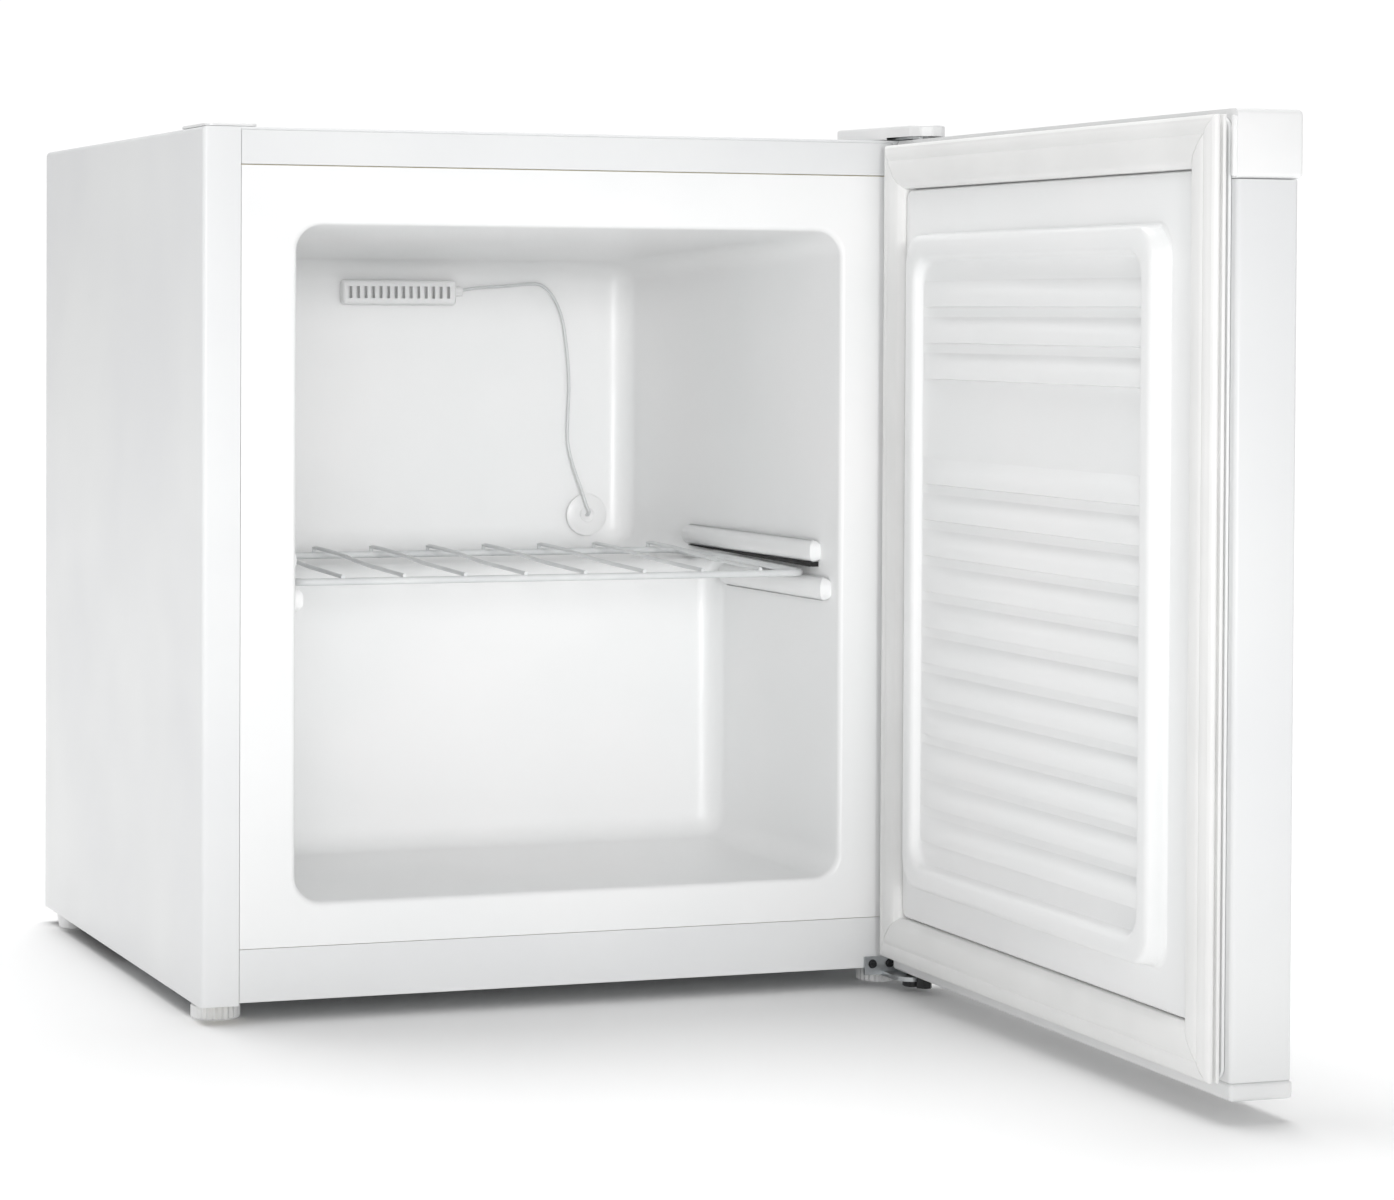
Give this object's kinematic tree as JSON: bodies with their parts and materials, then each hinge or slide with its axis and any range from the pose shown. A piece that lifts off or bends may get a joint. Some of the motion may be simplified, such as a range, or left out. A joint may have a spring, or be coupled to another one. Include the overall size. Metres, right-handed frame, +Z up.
{
  "type": "compact freezer",
  "caption": "Compact white cube freezer with a right-hinged front door held open, a moulded cavity with a wire shelf, and a compressor and condenser at the rear.",
  "frame": {"origin": "bottom centre of the whole part's box as it stands with the door open, on the floor under the feet", "axes": "+Z up, +Y towards the cabinet's back, +X towards the hinged side as seen from the front"},
  "size_m": [0.4547, 0.8674, 0.51],
  "materials": {
    "white_painted_steel": "satin",
    "white_abs": "satin",
    "white_polystyrene": "satin",
    "white_pvc_gasket": "matte",
    "white_coated_wire": "satin",
    "zinc_plated_steel": "satin",
    "black_painted_steel": "satin",
    "black_plastic": "matte",
    "black_rubber": "matte",
    "copper_tube": "satin",
    "aluminium_sheet": "satin",
    "polyurethane_foam": "matte",
    "grey_abs": "matte",
    "white_nylon": "satin"
  },
  "bodies": {
    "cabinet": {"back_panel": "white_painted_steel", "base_panel": "zinc_plated_steel", "bottom_hinge_bracket": "zinc_plated_steel", "bottom_hinge_pin": "black_painted_steel", "bottom_hinge_screw_1": "black_painted_steel", "bottom_hinge_screw_2": "black_painted_steel", "bottom_rail": "white_painted_steel", "cabinet_foam": "polyurethane_foam", "cabinet_shell": "white_painted_steel", "compressor": "black_painted_steel", "compressor_base": "black_painted_steel", "compressor_feet": "black_painted_steel", "condenser_coil": "black_painted_steel", "condenser_strap_left": "black_painted_steel", "condenser_strap_right": "black_painted_steel", "discharge_pipe": "copper_tube", "drip_tray": "grey_abs", "evaporator_sheet": "aluminium_sheet", "feeler_tube": "white_coated_wire", "filter_drier": "copper_tube", "hinge_hole_cap": "white_abs", "inner_liner": "white_polystyrene", "mains_gland": "black_rubber", "rear_foot_left": "white_abs", "rear_foot_right": "white_abs", "recess_panel": "zinc_plated_steel", "relay_cover": "black_plastic", "rubber_mount_1": "black_rubber", "rubber_mount_2": "black_rubber", "rubber_mount_3": "black_rubber", "rubber_mount_4": "black_rubber", "sensor_clip": "white_abs", "suction_pipe": "copper_tube", "thermostat_housing": "grey_abs", "top_hinge_bracket": "zinc_plated_steel", "top_hinge_cover": "white_abs", "top_hinge_pin": "zinc_plated_steel", "top_hinge_screw_1": "zinc_plated_steel", "top_hinge_screw_2": "zinc_plated_steel", "top_rail": "white_painted_steel", "tube_grommet": "white_abs"},
    "door": {"door_outer_panel": "white_painted_steel", "door_top_cap": "white_abs", "door_bottom_cap": "white_abs", "door_bush_top": "white_nylon", "door_bush_bottom": "white_nylon", "door_foam": "polyurethane_foam", "door_liner": "white_polystyrene", "door_gasket": "white_pvc_gasket", "door_stop_bolt": "black_painted_steel"},
    "shelf": {"wire_shelf": "white_coated_wire"},
    "knob": {"temperature_knob": "white_abs"},
    "foot_left": {"front_foot_left": "white_abs"},
    "foot_right": {"front_foot_right": "white_abs"}
  },
  "joints": [
    {"name": "door_hinge", "type": "hinge", "parent": "cabinet", "child": "door", "pos_m": [0.19713, -0.00927, 0.25], "axis": [0, 0, 1], "range_deg": [-89, 16]},
    {"name": "shelf_slide", "type": "slide", "parent": "cabinet", "child": "shelf", "axis": [0, -1, 0], "range_m": [0, 0.022]},
    {"name": "temperature_knob_turn", "type": "hinge", "parent": "cabinet", "child": "knob", "pos_m": [0.15213, 0.41673, 0.165], "axis": [0, 1, 0], "range_deg": [-135, 135]},
    {"name": "foot_left_screw", "type": "hinge", "parent": "cabinet", "child": "foot_left", "pos_m": [-0.21187, 0.03873, 0.01], "axis": [0, 0, 1], "range_deg": [-180, 180]},
    {"name": "foot_right_screw", "type": "hinge", "parent": "cabinet", "child": "foot_right", "pos_m": [0.19613, 0.03873, 0.01], "axis": [0, 0, 1], "range_deg": [-180, 180]}
  ]
}
